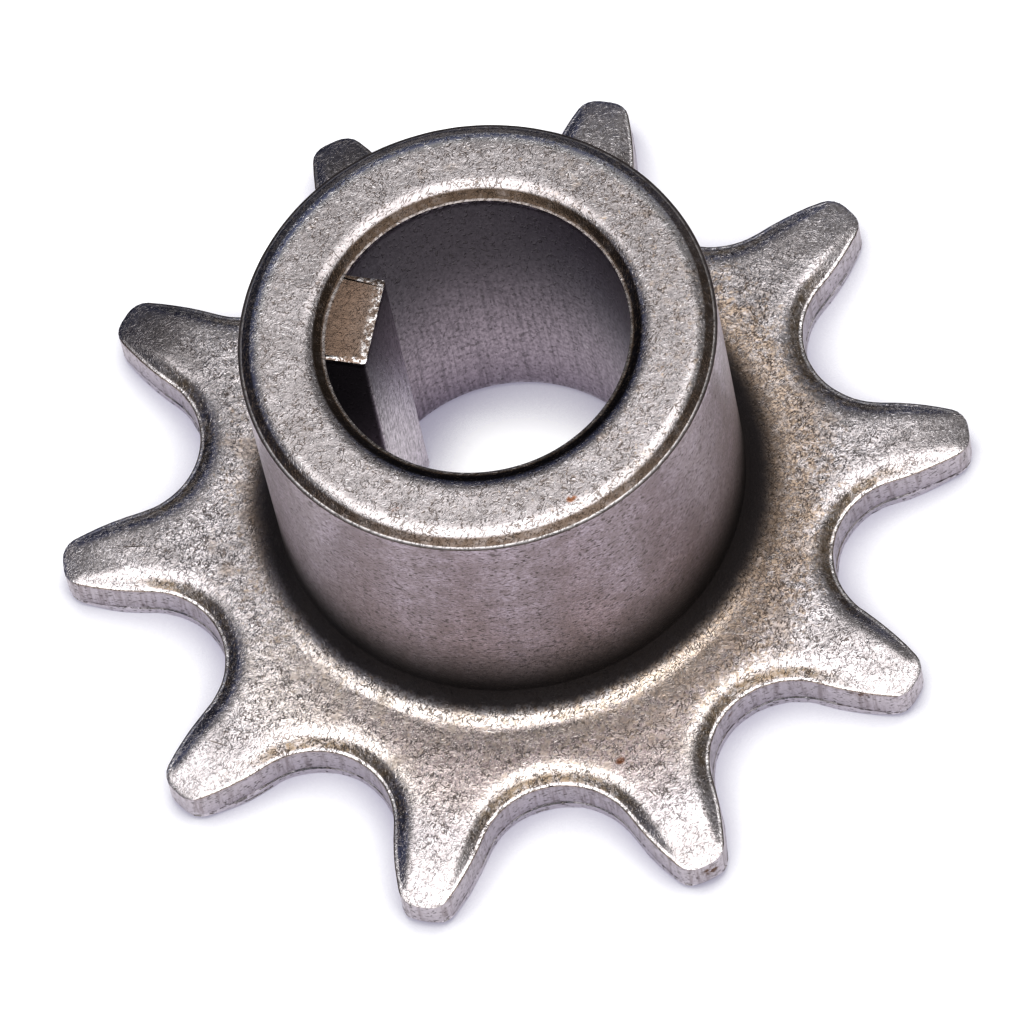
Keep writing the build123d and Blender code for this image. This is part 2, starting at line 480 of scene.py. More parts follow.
sprocket = modelSprocket(sprocketSizes)
print("sprocket drawn with", sprocketSizes["columns"], "columns round it")
wearShape(sprocket, sprocketSizes, partingSizes)
softenEdges(sprocket, sprocketSizes)
bpy.ops.object.mode_set(mode="OBJECT")
bpy.ops.object.shade_smooth_by_angle(angle=radians(sprocketSizes["smoothAngle"]))
smooth = sprocket.modifiers.new("weighted normals", "WEIGHTED_NORMAL")
smooth.keep_sharp = True
bpy.ops.object.modifier_apply(modifier=smooth.name)
markSurface(sprocket, sprocketSizes)
triangles = sum(len(face.vertices) - 2 for face in sprocket.data.polygons)
print("sprocket worn and softened:", triangles, "triangles")

# Shader trees: helpers that place a node, set it and join it, and give its output.


def feed(tree, socket, value):
    if isinstance(value, bpy.types.NodeSocket):
        tree.links.new(value, socket)
    else:
        socket.default_value = value


def addNode(tree, kind, feeds, **settings):
    node = tree.nodes.new("ShaderNode" + kind)
    for name, value in settings.items():
        setattr(node, name, value)
    for name, value in feeds.items():
        feed(tree, node.inputs[name], value)
    return node


def maths(tree, operation, *values):
    return addNode(tree, "Math", dict(enumerate(values)), operation=operation).outputs[0]


def product(tree, *values):
    total = values[0]
    for value in values[1:]:
        total = maths(tree, "MULTIPLY", total, value)
    return total


def without(tree, mask):
    return maths(tree, "SUBTRACT", 1.0, mask)


def ramp(tree, value, low, high, start=0.0, end=1.0):
    # an even S-curve from start to end, as the value goes from low to high
    feeds = {"Value": value, "From Min": low, "From Max": high, "To Min": start, "To Max": end}
    return addNode(tree, "MapRange", feeds, interpolation_type="SMOOTHSTEP").outputs["Result"]


def band(tree, value, rise, fall):
    # 1 between a ramp up and a ramp down
    return product(tree, ramp(tree, value, *rise), ramp(tree, value, *fall))


def fade(tree, mask, end):
    # 1 off the mask and this value on it
    return ramp(tree, mask, 0.0, 1.0, 1.0, end)


def mixed(tree, share, first, second):
    return addNode(tree, "Mix", {0: share, 6: first, 7: second}, data_type="RGBA").outputs[2]


def layered(tree, colour, layers):
    # lays each colour over the last one by its mask
    for mask, over in layers:
        colour = mixed(tree, mask, colour, over)
    return colour


def cloud(tree, place, size, detail=3.0, rough=0.5, warp=0.0):
    # noise in patches of this size
    feeds = {"Vector": place, "Scale": 1 / size, "Detail": detail, "Roughness": rough, "Distortion": warp}
    return addNode(tree, "TexNoise", feeds).outputs["Fac"]


def patchy(tree, place, grain, limits):
    # noise of this grain, sharpened between these limits
    return ramp(tree, cloud(tree, place, *grain), *limits)


def measured(tree, place, lengths, turn=0.0, origin=(0.0, 0.0, 0.0)):
    # the place from an origin, turned about Z, in these lengths
    feeds = {"Vector": place, "Location": origin, "Scale": lengths, "Rotation": (0.0, 0.0, radians(turn))}
    return addNode(tree, "Mapping", feeds, vector_type="TEXTURE").outputs["Vector"]


def vectorMaths(tree, operation, feeds):
    return addNode(tree, "VectorMath", feeds, operation=operation).outputs


def reach(tree, place, direction):
    # how far the place is in this direction
    return vectorMaths(tree, "DOT_PRODUCT", {0: place, 1: direction})["Value"]


def flattened(tree, place):
    return vectorMaths(tree, "MULTIPLY", {0: place, 1: (1.0, 1.0, 0.0)})[0]


def newGroup(name, inputs, outputs):
    group = bpy.data.node_groups.new(name, "ShaderNodeTree")
    for label, kind in inputs.items():
        group.interface.new_socket(name=label, in_out="INPUT", socket_type="NodeSocket" + kind)
    for label, kind in outputs.items():
        group.interface.new_socket(name=label, in_out="OUTPUT", socket_type="NodeSocket" + kind)
    return group, group.nodes.new("NodeGroupInput").outputs, group.nodes.new("NodeGroupOutput").inputs


def useGroup(tree, group, feeds):
    node = tree.nodes.new("ShaderNodeGroup")
    node.node_tree = group
    for name, value in feeds.items():
        feed(tree, node.inputs[name], value)
    return node.outputs


def makePlaceGroup():
    # the place on the sprocket in mm, and its distance from the bore's axis
    outputs = {"Place": "Vector", "Radius": "Float", "Height": "Float"}
    group, _, leave = newGroup("place on sprocket", {}, outputs)
    objectPlace = addNode(group, "TexCoord", {}).outputs["Object"]
    place = vectorMaths(group, "SCALE", {0: objectPlace, "Scale": 1 / mm})[0]
    feed(group, leave["Place"], place)
    feed(group, leave["Radius"], vectorMaths(group, "LENGTH", {0: flattened(group, place)})["Value"])
    feed(group, leave["Height"], addNode(group, "SeparateXYZ", {0: place}).outputs[2])
    return group


def inSteps(group, entry):
    # the place in steps of the group's Size
    step = maths(group, "DIVIDE", 1.0, entry["Size"])
    return vectorMaths(group, "SCALE", {0: entry["Place"], "Scale": step})[0]


# Sizes in the skins are in steps of the group's Size. Rises are how much each mark lifts the height.

tumbledSkin = {
    "bendScale": 0.12,
    "bendBy": (5.0, 5.0, 5.0),
    "grain": (1.0, 3.0, 0.65),
    "flecks": (((2.4, 0.45, 1.0), 20), ((2.0, 0.45, 1.0), 105)),  # lengths and directions of two sets
    "fleckLimits": (0.62, 0.74),
    "pits": ((1.9, 0.5, 1.0), 65),
    "pitLimits": (0.59, 0.68),
    "lumps": (5.0, 3.0),
    "cracks": (3.2, 2.0, 0.6),
    "crackLimits": (0.03, 0.01),
    "crackedLumps": (0.47, 0.54),
    "grainRise": 0.65,
    "lumpRise": 2.5,
    "crackRise": -0.7,
    "fleckRise": 0.85,
    "pitRise": -0.85,
}


def makeTumbledGroup(skin):
    # the skin of a pressed and tumbled face: fine grain, short flecks and pits, on broad lumps
    outputs = {"Height": "Float", "Grain": "Float", "Flecks": "Float", "Pits": "Float", "Cracks": "Float"}
    group, entry, leave = newGroup("tumbled skin", {"Place": "Vector", "Size": "Float"}, outputs)
    even = inSteps(group, entry)
    bend = addNode(group, "TexNoise", {"Vector": even, "Scale": skin["bendScale"], "Detail": 2.0})
    bent = vectorMaths(group, "MULTIPLY_ADD", {0: bend.outputs["Color"], 1: skin["bendBy"], 2: even})[0]
    grain = cloud(group, bent, *skin["grain"])
    along, across = [cloud(group, measured(group, bent, *fleck), 1.0, 1.0) for fleck in skin["flecks"]]
    flecks = ramp(group, maths(group, "MAXIMUM", along, across), *skin["fleckLimits"])
    pits = patchy(group, measured(group, bent, *skin["pits"]), (1.0, 2.0), skin["pitLimits"])
    lumps = cloud(group, even, *skin["lumps"])
    contour = maths(group, "ABSOLUTE", maths(group, "SUBTRACT", cloud(group, bent, *skin["cracks"]), 0.5))
    cracked = ramp(group, lumps, *skin["crackedLumps"])
    cracks = product(group, ramp(group, contour, *skin["crackLimits"]), cracked)
    height = maths(group, "MULTIPLY_ADD", lumps, skin["lumpRise"], product(group, grain, skin["grainRise"]))
    height = maths(group, "MULTIPLY_ADD", cracks, skin["crackRise"], height)
    height = maths(group, "MULTIPLY_ADD", flecks, skin["fleckRise"], height)
    height = maths(group, "MULTIPLY_ADD", pits, skin["pitRise"], height)
    for label, value in zip(outputs, (height, grain, flecks, pits, cracks)):
        feed(group, leave[label], value)
    return group


dieSkin = {
    "grainLengths": (1.5, 1.5, 0.8),
    "grain": (1.0, 3.0, 0.65),
    "pits": ((1.9, 1.9, 0.9), 30),
    "pitLimits": (0.57, 0.68),
    "lumps": (7.0, 3.0),
    "lumpRise": 2.0,
    "pitRise": -1.0,
}


def makeDieGroup(skin):
    # a wall that slid along the die: satin, with a fine level grain and small level pits
    outputs = {"Height": "Float", "Grain": "Float", "Pits": "Float"}
    group, entry, leave = newGroup("die skin", {"Place": "Vector", "Size": "Float"}, outputs)
    even = inSteps(group, entry)
    grain = cloud(group, measured(group, even, skin["grainLengths"]), *skin["grain"])
    pits = patchy(group, measured(group, even, *skin["pits"]), (1.0, 2.0), skin["pitLimits"])
    height = maths(group, "MULTIPLY_ADD", cloud(group, even, *skin["lumps"]), skin["lumpRise"], grain)
    height = maths(group, "MULTIPLY_ADD", pits, skin["pitRise"], height)
    for label, value in zip(outputs, (height, grain, pits)):
        feed(group, leave[label], value)
    return group


stainShape = {"grain": (1.0, 8.0, 0.7, 0.4), "least": 0.78, "most": 0.28, "softness": 0.16}


def makeStainGroup(shape):
    # ragged patches with a fine break-up inside them, more of them as Cover goes from 0 to 1
    inputs = {"Place": "Vector", "Size": "Float", "Cover": "Float"}
    group, entry, leave = newGroup("stain", inputs, {"Mask": "Float"})
    patch = cloud(group, inSteps(group, entry), *shape["grain"])
    low = maths(group, "MULTIPLY_ADD", entry["Cover"], shape["most"] - shape["least"], shape["least"])
    feed(group, leave["Mask"], ramp(group, patch, low, maths(group, "ADD", low, shape["softness"])))
    return group


rubAndGlintShape = {"grain": (0.35, 4.0, 0.7), "limits": (0.46, 0.62), "edge": (0.5, 1.0)}


def makeRubAndGlintGroup(shape):
    # where edges stand proud: rubbed, and with painted glints where they catch light, broken up as handling
    # leaves it
    group, entry, leave = newGroup("rubbed edge and glint", {"Place": "Vector", "Edge": "Float"}, {"Mask": "Float"})
    gaps = patchy(group, entry["Place"], shape["grain"], shape["limits"])
    feed(group, leave["Mask"], product(group, ramp(group, entry["Edge"], *shape["edge"]), gaps))
    return group


groups = {
    "place": makePlaceGroup(),
    "tumbled": makeTumbledGroup(tumbledSkin),
    "die": makeDieGroup(dieSkin),
    "stain": makeStainGroup(stainShape),
    "rubAndGlint": makeRubAndGlintGroup(rubAndGlintShape),
}
print("effects made:", ", ".join(groups))


def newSteel(name):
    steel = bpy.data.materials.new(name)
    steel.use_nodes = True
    tree = steel.node_tree
    shader = tree.nodes["Principled BSDF"]
    shader.inputs["Metallic"].default_value = 1.0
    where = useGroup(tree, groups["place"], {})
    return steel, tree, shader, where


def finishSteel(tree, shader, colour, roughness, height, relief):
    # relief is the height of the skin in mm
    feed(tree, shader.inputs["Base Color"], colour)
    feed(tree, shader.inputs["Roughness"], roughness)
    bump = addNode(tree, "Bump", {"Height": height, "Strength": 1.0, "Distance": relief * mm})
    feed(tree, shader.inputs["Normal"], bump.outputs["Normal"])


def marked(tree, name):
    return addNode(tree, "Attribute", {}, attribute_name=name).outputs["Fac"]


def stained(tree, place, size, cover):
    return useGroup(tree, groups["stain"], {"Place": place, "Size": size, "Cover": cover})["Mask"]


# rubbed edges, with painted glints where they catch light
def rubbed(tree, place, edge):
    return useGroup(tree, groups["rubAndGlint"], {"Place": place, "Edge": edge})["Mask"]


def spotMask(tree, place, spot, lengths, turn=0.0):
    # 1 at a spot, fading at these lengths from it
    away = vectorMaths(tree, "LENGTH", {0: measured(tree, place, lengths, turn, spot)})["Value"]
    return ramp(tree, away, 1.2, 0.5)


# In the finishes, limits are a ramp's: from, to, and the values at both ends where they aren't 0 and 1.
# A pair of limits is a band's. A grain is a cloud's: patch size, detail and roughness. Colours come first.

pressedFinish = {
    "clean": (0.53, 0.50, 0.507, 1),
    "dull": (0.235, 0.215, 0.213, 1),
    "ochre": (0.44, 0.33, 0.23, 1),
    "deepOchre": (0.135, 0.092, 0.06, 1),
    "umber": (0.085, 0.062, 0.047, 1),
    "olive": (0.165, 0.122, 0.078, 1),
    "sootAndShade": (0.055, 0.047, 0.047, 1),
    "rust": (0.19, 0.09, 0.05, 1),
    "keyBrown": (0.12, 0.085, 0.064, 1),
    "rimDirt": (0.055, 0.04, 0.03, 1),
    "bright": (0.66, 0.64, 0.64, 1),
    "wearAndHighlight": (0.72, 0.64, 0.56, 1),
    "skin": 0.14,
    "relief": 0.015,
    "roughness": (0.3, 1.1, 0.22, 0.36),
    "sootRoughness": 0.3,
    # where things are, by radius or height in mm
    "plateTop": (2.5, 2.7),
    "toothTop": (2.0, 2.2),
    "hubTop": (15.0, 17.0),
    "ringTop": (19.3, 19.45),
    "onKey": (7.56, 7.48),
    # the grey ground
    "patches": ((2.4, 4.0, 0.6), (0.35, 0.65, 0.45, 1.0)),
    "litGrain": (0.26, 0.64),
    "hubLit": 0.5,
    "hubSkin": 0.48,
    "tipSkin": (21.5, 18.0, 0.55, 1.0),
    # the shoulders over the gaps and the ring round the hub's foot are rubbed smoother
    "shoulder": ((0.7, 0.95), (1.9, 1.3)),
    "shoulderEnd": (21.5, 19.0),
    "ring": ((12.8, 13.3), (14.8, 13.9)),
    "smoothLit": 0.3,
    "smoothMarks": 0.4,
    "smoothSkin": 0.75,
    # rust colour
    "rustSide": ((1.0, 0.2, 0.0), (-6.0, 14.0, 0.56, 0.84)),
    "rustNearHub": (20.5, 13.5, 0.15, 1.0),
    "rustLow": (6.0, 4.0, 0.6, 1.0),
    "rustSpecks": (0.32, 0.7),  # size and strength
    "rustHaze": (1.9, 0.4),
    "rustGrain": (0.40, 0.58),
    "rustSpots": [((-1.93, -10.17, 20.0), 0.2), ((6.49, -8.3, 20.0), 0.3), ((8.3, -13.88, 2.8), 0.3)],
    "rustSpotShape": (0.7, 40),  # width over length, and direction
    "rustBreaks": (0.36, 0.52),
    # soot and painted shade at the hub's foot, and a painted highlight on the plate beyond it. Their limits
    # run from the side painted lighter round to the others.
    "paintedLightSide": (0.139, -0.990, 0.0),
    "sootEnds": (0.92, 0.0, 12.55, 13.3),
    "sootSoftness": (0.92, 0.0, -0.4, -0.9),
    "sootCover": 0.95,
    "sootRagged": ((0.7, 3.0, 0.55), 0.7),  # grain, and how far it moves the soot's end
    "sootStart": 0.1,
    "fringeReach": (0.9, -0.1),  # distances past the soot's end
    # the painted highlight on the plate beyond the soot, on the side painted lighter
    "highlightReach": (-0.2, 0.3),
    "hubWall": (11.6, 11.8),
    "fringe": (0.85, 0.1, 0.0, 0.75),
    "highlightSide": (0.3, 1.0, 0.0, 0.36),
    "highlightOut": (19.5, 16.0),
    # dirt and painted shade on the bevels
    "streaks": (0.5, 5.0, 0.65),
    "bevel": ((0.8, 0.5), (0.16, 0.26)),
    "bevelStreaks": (0.35, 0.6, 0.3, 0.85),
    "inGap": (20.5, 17.8, 0.05, 1.0),
    "outerRim": ((11.18, 11.32), (11.70, 11.62)),
    "innerRim": ((8.22, 8.08), (7.62, 7.72, 0.7, 1.0)),
    "outerStreaks": (0.25, 0.6, 0.6, 0.95),
    "innerStreaks": (0.2, 0.55, 0.8, 1.0),
    # rubbed lands, and a painted highlight on the hub's shoulder on its far side
    "paintedFarSide": ((-0.4, 0.92, 0.0), (-1.0, 8.0, 0.1, 0.8)),
    "dirtAndShadeSide": (-0.8, 1.08),  # how the dirt and painted shade fall off as the far side is reached
    "outerLand": (11.64, 11.70),
    "innerLand": (7.72, 7.66),
    "innerDots": ((0.3, 2.0), (0.42, 0.56)),
    "innerRub": 0.12,
    "onRing": (7.45, 7.52),
    "toothLand": ((0.2, 0.14), (0.02, 0.06)),
    "toothStreaks": (0.40, 0.56, 0.1, 0.75),
    "ringStreaks": (0.34, 0.48, 0.5, 1.0),
    "hubShoulder": ((10.6, 10.9), (11.3, 11.2)),
    # flecks, pits, scratches and tarnish
    "fleckShare": 0.5,
    "markShare": (21.5, 18.5, 0.15, 0.7),
    "scratches": [  # middle, half the length and direction
        ((-18.38, -5.76, 2.8), 0.77, 8),
        ((-11.94, -15.91, 2.8), 0.62, -10),
        ((10.15, -15.33, 2.8), 0.47, -35),
    ],
    "scratchWidth": 0.035,
    "scratchShare": 0.8,
    # painted shade on the teeth's tips towards the far left
    "darkEnd": ((-0.8, 0.6, 0.0), (12.0, 21.0, 0.0, 0.6)),
    "darkTips": (17.0, 21.0),
    # the key's end, and the edges
    "browned": (5.2, 7.0, 0.65, 0.92),
    "keyRub": 0.8,
    "edge": (0.5, 1.0),
    "toothEdge": (0.12, 0.05),
    "hubEdge": (11.80, 11.83, 0.0, 0.75),
    "edgeShare": 0.9,
}


def smoothedMask(tree, depth, radius, height, finish):
    offTips = ramp(tree, radius, *finish["shoulderEnd"])
    shoulders = product(tree, band(tree, depth, *finish["shoulder"]), offTips)
    ring = product(tree, band(tree, radius, *finish["ring"]), ramp(tree, height, *finish["plateTop"]))
    return maths(tree, "MAXIMUM", shoulders, ring)


def rustMask(tree, place, radius, height, finish):
    # rust colour in fine broken specks, most of it on the plate near the hub, on the +X side
    direction, limits = finish["rustSide"]
    side = ramp(tree, reach(tree, place, direction), *limits)
    nearHub = ramp(tree, radius, *finish["rustNearHub"])
    cover = product(tree, nearHub, side, ramp(tree, height, *finish["rustLow"]))
    masks = []
    for size, share in (finish["rustSpecks"], finish["rustHaze"]):
        masks.append(product(tree, stained(tree, place, size, cover), share))
    return maths(tree, "MAXIMUM", *masks)


def footSoot(tree, place, radius, height, finish):
    # the soot and painted shade in the hollow at the hub's foot, the brown fringe outside it, and a painted
    # highlight on the plate beyond, on the side painted lighter
    outward = vectorMaths(tree, "NORMALIZE", {0: flattened(tree, place)})[0]
    towards = reach(tree, outward, finish["paintedLightSide"])
    end = ramp(tree, towards, *finish["sootEnds"])
    grain, swing = finish["sootRagged"]
    ragged = maths(tree, "SUBTRACT", cloud(tree, place, *grain), 0.5)
    past = maths(tree, "SUBTRACT", maths(tree, "MULTIPLY_ADD", ragged, swing, radius), end)
    low = product(tree, ramp(tree, height, *finish["plateTop"]), ramp(tree, radius, *finish["hubWall"]))
    inner = ramp(tree, towards, *finish["sootSoftness"])
    # soot and painted shade, narrower on the side painted lighter
    footSootAndShade = product(tree, ramp(tree, past, finish["sootStart"], inner), low, finish["sootCover"])
    fringe = product(tree, ramp(tree, past, *finish["fringeReach"]), low)
    fringe = product(tree, fringe, ramp(tree, towards, *finish["fringe"]))
    # a painted highlight on the plate beyond the soot
    wearAndHighlight = product(tree, ramp(tree, past, *finish["highlightReach"]), ramp(tree, towards, *finish["highlightSide"]))
    return footSootAndShade, fringe, product(tree, wearAndHighlight, low, ramp(tree, radius, *finish["highlightOut"]))


def rimMasks(tree, place, radius, height, streaks, finish):
    # the dirty bevels round the hub's top, and the lands outside them
    onTop = ramp(tree, height, *finish["ringTop"])
    outer = product(tree, band(tree, radius, *finish["outerRim"]), onTop)
    inner = product(tree, band(tree, radius, *finish["innerRim"]), onTop)
    inner = product(tree, inner, ramp(tree, streaks, *finish["innerStreaks"]))
    dots = patchy(tree, place, *finish["innerDots"])
    innerLand = product(tree, ramp(tree, radius, *finish["innerLand"]), dots, finish["innerRub"])
    lands = maths(tree, "ADD", ramp(tree, radius, *finish["outerLand"]), innerLand)
    return outer, inner, product(tree, lands, onTop, ramp(tree, radius, *finish["onRing"]))


def makePressedSteel(finish):
    # pressed faces: the top and the underside of the plate, the hub's ends, the key's ends
    steel, tree, shader, where = newSteel("pressed_steel")
    place, radius, height = where["Place"], where["Radius"], where["Height"]
    depth = marked(tree, "edgeDepth")
    streaks = cloud(tree, place, *finish["streaks"])
    skin = useGroup(tree, groups["tumbled"], {"Place": place, "Size": finish["skin"]})
    onHub = ramp(tree, height, *finish["hubTop"])
    smoothed = smoothedMask(tree, depth, radius, height, finish)
    patches = patchy(tree, place, *finish["patches"])
    lit = product(tree, patches, ramp(tree, skin["Grain"], *finish["litGrain"]))
    lit = product(tree, lit, fade(tree, onHub, finish["hubLit"]))
    lit = maths(tree, "MAXIMUM", lit, product(tree, smoothed, finish["smoothLit"]))
    grey = mixed(tree, lit, finish["dull"], finish["clean"])

    rust = rustMask(tree, place, radius, height, finish)
    ochre = mixed(tree, ramp(tree, skin["Grain"], *finish["rustGrain"]), finish["deepOchre"], finish["ochre"])
    footSootAndShade, fringe, wearAndHighlight = footSoot(tree, place, radius, height, finish)
    # the painted highlight beyond the soot at the hub's foot
    colour = layered(tree, grey, [(rust, ochre), (wearAndHighlight, finish["wearAndHighlight"])])

    # the bevels hold dirt and painted shade, more of it down in the gaps, and the lands beyond them are
    # rubbed; the hub's shoulder gets a painted highlight on its far side
    bevelDirtAndShade = product(tree, band(tree, depth, *finish["bevel"]), ramp(tree, streaks, *finish["bevelStreaks"]))
    bevelDirtAndShade = product(tree, bevelDirtAndShade, ramp(tree, radius, *finish["inGap"]))
    onTooth = ramp(tree, height, *finish["toothTop"])
    outerRim, innerRim, ringLands = rimMasks(tree, place, radius, height, streaks, finish)
    direction, limits = finish["paintedFarSide"]
    paintedFarSide = ramp(tree, reach(tree, place, direction), *limits)
    dirtAndShadeSide = maths(tree, "MULTIPLY_ADD", paintedFarSide, *finish["dirtAndShadeSide"])
    # the outer rim's umber is dirt with painted shade, heavier on the near side
    rimDirt = product(tree, outerRim, ramp(tree, streaks, *finish["outerStreaks"]), dirtAndShadeSide)
    toothLand = product(tree, band(tree, depth, *finish["toothLand"]), onTooth)
    toothLand = product(tree, toothLand, ramp(tree, streaks, *finish["toothStreaks"]))
    ringLands = product(tree, ringLands, ramp(tree, streaks, *finish["ringStreaks"]))
    shoulder = product(tree, band(tree, radius, *finish["hubShoulder"]), onHub)
    bevels = [(bevelDirtAndShade, finish["olive"]), (rimDirt, finish["umber"]), (innerRim, finish["rimDirt"])]
    lands = maths(tree, "MAXIMUM", toothLand, ringLands)
    # the hub's shoulder gets a painted highlight on its far side
    rubsAndHighlights = [(lands, finish["bright"]), (product(tree, shoulder, paintedFarSide), finish["bright"])]
    colour = layered(tree, colour, bevels + rubsAndHighlights)

    # flecks and pits of the skin, rust spots and scratches
    offRim = without(tree, maths(tree, "MAXIMUM", outerRim, innerRim))
    flecks = product(tree, skin["Flecks"], offRim, finish["fleckShare"])
    marks = maths(tree, "MAXIMUM", skin["Pits"], skin["Cracks"])
    marks = product(tree, marks, ramp(tree, radius, *finish["markShare"]))
    marks = product(tree, marks, fade(tree, smoothed, finish["smoothMarks"]))
    colour = layered(tree, colour, [(flecks, finish["bright"]), (marks, finish["umber"])])
    squash, turn = finish["rustSpotShape"]
    for spot, width in finish["rustSpots"]:
        mask = spotMask(tree, place, spot, (width, width * squash, width), turn)
        mask = product(tree, mask, ramp(tree, streaks, *finish["rustBreaks"]))
        colour = mixed(tree, mask, colour, finish["rust"])
    for middle, half, turn in finish["scratches"]:
        mask = spotMask(tree, place, middle, (half, finish["scratchWidth"], 1.0), turn)
        colour = mixed(tree, product(tree, mask, finish["scratchShare"]), colour, finish["umber"])

    # painted shade on the tips towards the far left, soot and painted shade at the hub's foot, the browned
    # end of the key, and the edges
    direction, limits = finish["darkEnd"]
    paintedTipShade = ramp(tree, reach(tree, place, direction), *limits)
    paintedTipShade = product(tree, paintedTipShade, ramp(tree, radius, *finish["darkTips"]))
    onKey = ramp(tree, radius, *finish["onKey"])
    browned = product(tree, onKey, ramp(tree, radius, *finish["browned"]))
    edge = ramp(tree, marked(tree, "edgeWear"), *finish["edge"])
    keyRub = product(tree, rubbed(tree, place, edge), onKey, finish["keyRub"])
    atTooth = product(tree, ramp(tree, depth, *finish["toothEdge"]), onTooth)
    atHub = product(tree, ramp(tree, radius, *finish["hubEdge"]), onHub)
    atWall = maths(tree, "MAXIMUM", atTooth, atHub)
    # the edges along the walls are darkened to umber
    darkenedEdge = product(tree, edge, without(tree, onKey), atWall, finish["edgeShare"])
    # painted shade on the far-left tips, brown dirt beside the hub's foot, and soot with painted shade in its
    # hollow
    dirt = [(paintedTipShade, finish["sootAndShade"]), (fringe, finish["umber"]), (footSootAndShade, finish["sootAndShade"])]
    edges = [(browned, finish["keyBrown"]), (keyRub, finish["bright"]), (darkenedEdge, finish["umber"])]
    colour = layered(tree, colour, dirt + edges)

    roughness = ramp(tree, maths(tree, "ADD", skin["Grain"], rust), *finish["roughness"])
    roughness = maths(tree, "MULTIPLY_ADD", footSootAndShade, finish["sootRoughness"], roughness)
    relief = product(tree, skin["Height"], fade(tree, onHub, finish["hubSkin"]))
    relief = product(tree, relief, ramp(tree, radius, *finish["tipSkin"]))
    relief = product(tree, relief, fade(tree, smoothed, finish["smoothSkin"]))
    finishSteel(tree, shader, colour, roughness, relief, finish["relief"])
    return steel


dieFinish = {
    "clean": (0.47, 0.405, 0.47, 1),
    "brown": (0.25, 0.205, 0.215, 1),
    "sootAndShade": (0.04, 0.034, 0.035, 1),
    "pit": (0.07, 0.055, 0.05, 1),
    "bright": (0.66, 0.62, 0.66, 1),
    "rust": (0.12, 0.06, 0.035, 1),
    "skin": 0.13,
    "relief": 0.017,
    "roughness": (0.3, 0.7, 0.28, 0.40),
    "onHub": (12.6, 12.4),
    # brown on the hub and the teeth
    "upright": ((1.7, 1.7, 14.0), (1.0, 2.0), (0.4, 0.6), 0.35),  # lengths, grain, limits and share
    "patches": ((1.3, 6.0, 0.75), (0.38, 0.62, 0.0, 0.65)),
    "grain": (0.38, 0.62, 0.0, 0.9),
    "hubGrain": 0.85,
    "pitShare": 0.75,
    # soot and painted shade: the hub darkens towards its foot
    "hubFoot": (10.5, 4.4),
    # the teeth are brighter, with fine upright lines
    "toothBright": (1.0, 0.0, 0.0, 0.6),
    "lineLengths": (0.3, 0.3, 3.0),
    "lines": ((1.0, 4.0, 0.7), (0.46, 0.66, 0.0, 0.65)),
    "topBand": (2.0, 2.3, 0.0, 0.35),
    # the parting line, and the wall below it, made brighter
    "belowLine": (0.46, 0.38),
    "belowShare": 0.85,
    "atLine": ((0.43, 0.47), (0.58, 0.52)),
    "lineBreaks": ((0.5, 4.0, 0.6), (0.40, 0.55, 0.0, 0.9)),
    # where the wear and painted glint along the walls' bottom edges reach
    "lowEdgeWearAndGlint": (1.0, 0.6),
    "brownSpots": [((13.73, -18.51, 1.55), 0.5), ((19.31, -8.06, 2.33), 0.6), ((13.04, -10.06, 1.74), 0.22)],
    "spotBreaks": ((0.3, 4.0, 0.7), (0.42, 0.6)),
}


def makeDieSteel(finish):
    # walls that the die formed: the hub's side and the teeth's sides
    steel, tree, shader, where = newSteel("die_steel")
    place, radius, height = where["Place"], where["Radius"], where["Height"]
    skin = useGroup(tree, groups["die"], {"Place": place, "Size": finish["skin"]})
    onHub = ramp(tree, radius, *finish["onHub"])
    offHub = without(tree, onHub)
    lengths, uprightGrain, limits, share = finish["upright"]
    upright = product(tree, patchy(tree, measured(tree, place, lengths), uprightGrain, limits), share)
    patches = patchy(tree, place, *finish["patches"])
    grain = product(tree, ramp(tree, skin["Grain"], *finish["grain"]), fade(tree, onHub, finish["hubGrain"]))
    # soot and painted shade on the hub, darker towards its foot
    low = product(tree, onHub, ramp(tree, height, *finish["hubFoot"]))
    lines = patchy(tree, measured(tree, place, finish["lineLengths"]), *finish["lines"])
    below = product(tree, ramp(tree, height, *finish["belowLine"]), offHub)
    atLine = product(tree, band(tree, height, *finish["atLine"]), offHub)
    atLine = product(tree, atLine, patchy(tree, place, *finish["lineBreaks"]))
    layers = [
        (upright, finish["brown"]),
        (patches, finish["brown"]),
        (grain, finish["brown"]),
        (ramp(tree, onHub, *finish["toothBright"]), finish["bright"]),
        (low, finish["sootAndShade"]),
        (product(tree, lines, offHub), finish["brown"]),
        (product(tree, below, finish["belowShare"]), finish["bright"]),
        (atLine, finish["pit"]),
        (product(tree, skin["Pits"], finish["pitShare"]), finish["pit"]),
    ]
    colour = layered(tree, finish["clean"], layers)
    for spot, width in finish["brownSpots"]:
        mask = spotMask(tree, place, spot, (width, width, width))
        mask = product(tree, mask, patchy(tree, place, *finish["spotBreaks"]))
        colour = mixed(tree, mask, colour, finish["rust"])
    topBand = product(tree, ramp(tree, height, *finish["topBand"]), offHub)
    # rubbed edges with a painted glint along the walls' bottom edges
    lowEdgeWearAndGlint = rubbed(tree, place, marked(tree, "edgeWear"))
    lowEdgeWearAndGlint = product(tree, lowEdgeWearAndGlint, ramp(tree, height, *finish["lowEdgeWearAndGlint"]))
    colour = layered(tree, colour, [(topBand, finish["brown"]), (lowEdgeWearAndGlint, finish["bright"])])
    roughness = ramp(tree, skin["Grain"], *finish["roughness"])
    finishSteel(tree, shader, colour, roughness, skin["Height"], finish["relief"])
    return steel


